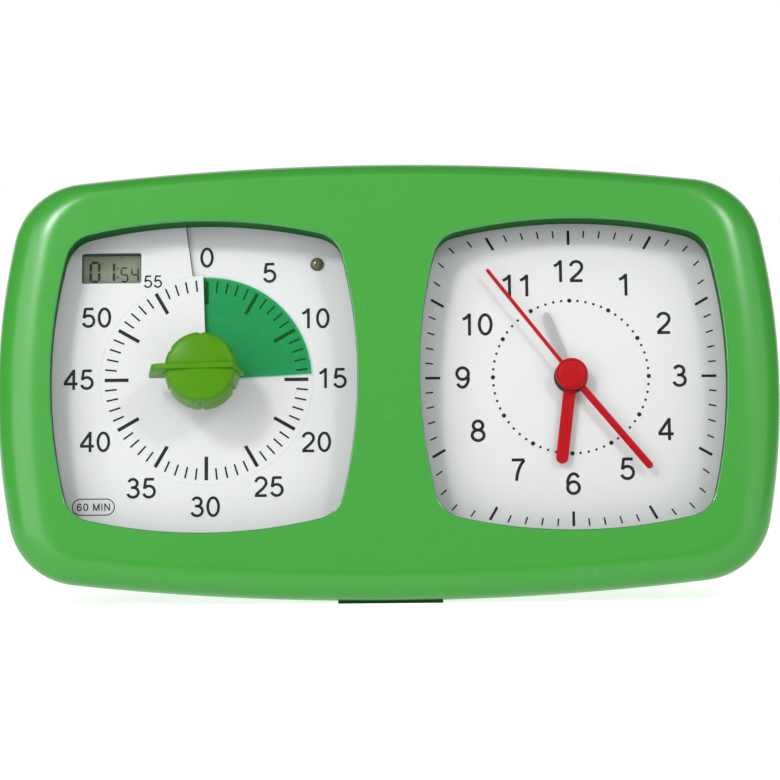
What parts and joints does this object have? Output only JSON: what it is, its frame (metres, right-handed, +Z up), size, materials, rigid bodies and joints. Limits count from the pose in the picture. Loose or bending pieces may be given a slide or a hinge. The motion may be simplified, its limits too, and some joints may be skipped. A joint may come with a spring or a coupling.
{
  "type": "desktop timer clock",
  "caption": "Leaning desktop twin clock with two cushion-shaped windows: a dial countdown timer with a turning knob and coloured disc, and an analogue alarm clock.",
  "frame": {"origin": "centre of the bounding box footprint, on the floor", "axes": "+X to the viewer's right along the wide face, -Y towards the viewer in front, +Z up"},
  "size_m": [0.272, 0.079, 0.1522],
  "materials": {
    "case_green": "satin",
    "lens_clear": "gloss",
    "black_plastic": "matte",
    "dial_white": "satin",
    "disc_green": "gloss",
    "knob_green": "satin",
    "steel": "satin",
    "gear_nylon": "satin",
    "brass": "satin",
    "housing_grey": "matte",
    "board_green": "satin",
    "lcd_grey": "gloss",
    "led_amber": "gloss",
    "hand_red": "satin",
    "hand_silver": "satin",
    "copper_wire": "satin",
    "switch_red": "satin",
    "cell_sleeve": "gloss",
    "contact_metal": "bright",
    "rubber": "matte"
  },
  "bodies": {
    "case": {"front_bezel": "case_green", "rear_cover": "case_green", "timer_lens": "lens_clear", "clock_lens": "lens_clear", "inner_frame": "black_plastic", "timer_dial": "dial_white", "clock_dial": "dial_white", "timer_housing": "housing_grey", "timer_cover": "housing_grey", "timer_motor": "steel", "circuit_board": "board_green", "lcd_panel": "lcd_grey", "lcd_holder": "black_plastic", "indicator_led": "led_amber", "buzzer": "black_plastic", "movement_case": "black_plastic", "movement_cover": "black_plastic", "movement_nut": "brass", "movement_coil": "copper_wire", "battery_upper": "cell_sleeve", "battery_lower": "cell_sleeve", "battery_contacts": "contact_metal", "case_screws": "steel", "frame_screws": "steel", "front_foot": "rubber", "rear_foot": "rubber"},
    "knob": {"timer_knob": "knob_green", "timer_spindle": "steel", "timer_wheel": "gear_nylon"},
    "disc": {"time_disc": "disc_green", "disc_hub": "black_plastic"},
    "motor_rotor": {"motor_pinion": "brass"},
    "minute": {"minute_hand": "hand_red", "minute_wheel": "brass"},
    "hour": {"hour_hand": "hand_red", "hour_wheel": "gear_nylon"},
    "second": {"second_hand": "hand_red", "second_cap": "hand_red", "second_wheel": "brass"},
    "alarm": {"alarm_hand": "hand_silver", "alarm_wheel": "gear_nylon"},
    "setting": {"setting_wheel": "gear_nylon", "time_set_knob": "black_plastic"},
    "alarm_setting": {"alarm_pinion": "gear_nylon", "alarm_set_knob": "black_plastic"},
    "alarm_slider": {"alarm_switch": "switch_red"},
    "volume_slider": {"volume_switch": "black_plastic"},
    "door": {"battery_door": "case_green"}
  },
  "joints": [
    {"name": "knob_turn", "type": "hinge", "parent": "case", "child": "knob", "pos_m": [-0.06369, -0.01242, 0.07714], "axis": [0, 0.9781, -0.2079], "range_deg": [-87, 273]},
    {"name": "disc_rise", "type": "slide", "parent": "knob", "child": "disc", "axis": [0, -0.9781, 0.2079], "range_m": [-0.00049, 0.00152]},
    {"name": "motor_turn", "type": "hinge", "parent": "case", "child": "motor_rotor", "pos_m": [-0.06369, -0.00014, 0.04836], "axis": [0, 0.9781, -0.2079], "range_deg": [-825, 270]},
    {"name": "minute_turn", "type": "hinge", "parent": "case", "child": "minute", "pos_m": [0.06369, -0.01242, 0.07714], "axis": [0, 0.9781, -0.2079], "continuous": true},
    {"name": "hour_turn", "type": "hinge", "parent": "case", "child": "hour", "pos_m": [0.06369, -0.01242, 0.07714], "axis": [0, 0.9781, -0.2079], "continuous": true},
    {"name": "second_turn", "type": "hinge", "parent": "case", "child": "second", "pos_m": [0.06369, -0.01242, 0.07714], "axis": [0, 0.9781, -0.2079], "continuous": true},
    {"name": "alarm_turn", "type": "hinge", "parent": "case", "child": "alarm", "pos_m": [0.06369, -0.01242, 0.07714], "axis": [0, 0.9781, -0.2079], "continuous": true},
    {"name": "setting_turn", "type": "hinge", "parent": "case", "child": "setting", "pos_m": [0.06369, 0.01746, 0.08306], "axis": [0, 0.9781, -0.2079], "continuous": true},
    {"name": "alarm_setting_turn", "type": "hinge", "parent": "case", "child": "alarm_setting", "pos_m": [0.06369, 0.01263, 0.06032], "axis": [0, 0.9781, -0.2079], "continuous": true},
    {"name": "alarm_switch_slide", "type": "slide", "parent": "case", "child": "alarm_slider", "axis": [1, 0, 0], "range_m": [0, 0.0058]},
    {"name": "volume_switch_slide", "type": "slide", "parent": "case", "child": "volume_slider", "axis": [1, 0, 0], "range_m": [0, 0.0058]},
    {"name": "door_swing", "type": "hinge", "parent": "case", "child": "door", "pos_m": [0, 0.0218, 0.01354], "axis": [-1, 0, 0], "range_deg": [0, 90]}
  ],
  "couplings": [
    {"joint": "disc_rise", "follows": "knob_turn", "m_per_rad": 0.00031831},
    {"joint": "motor_turn", "follows": "knob_turn", "ratio": -3},
    {"joint": "hour_turn", "follows": "minute_turn", "ratio": 0.083333},
    {"joint": "setting_turn", "follows": "minute_turn", "ratio": -0.33333},
    {"joint": "alarm_setting_turn", "follows": "alarm_turn", "ratio": -2}
  ]
}
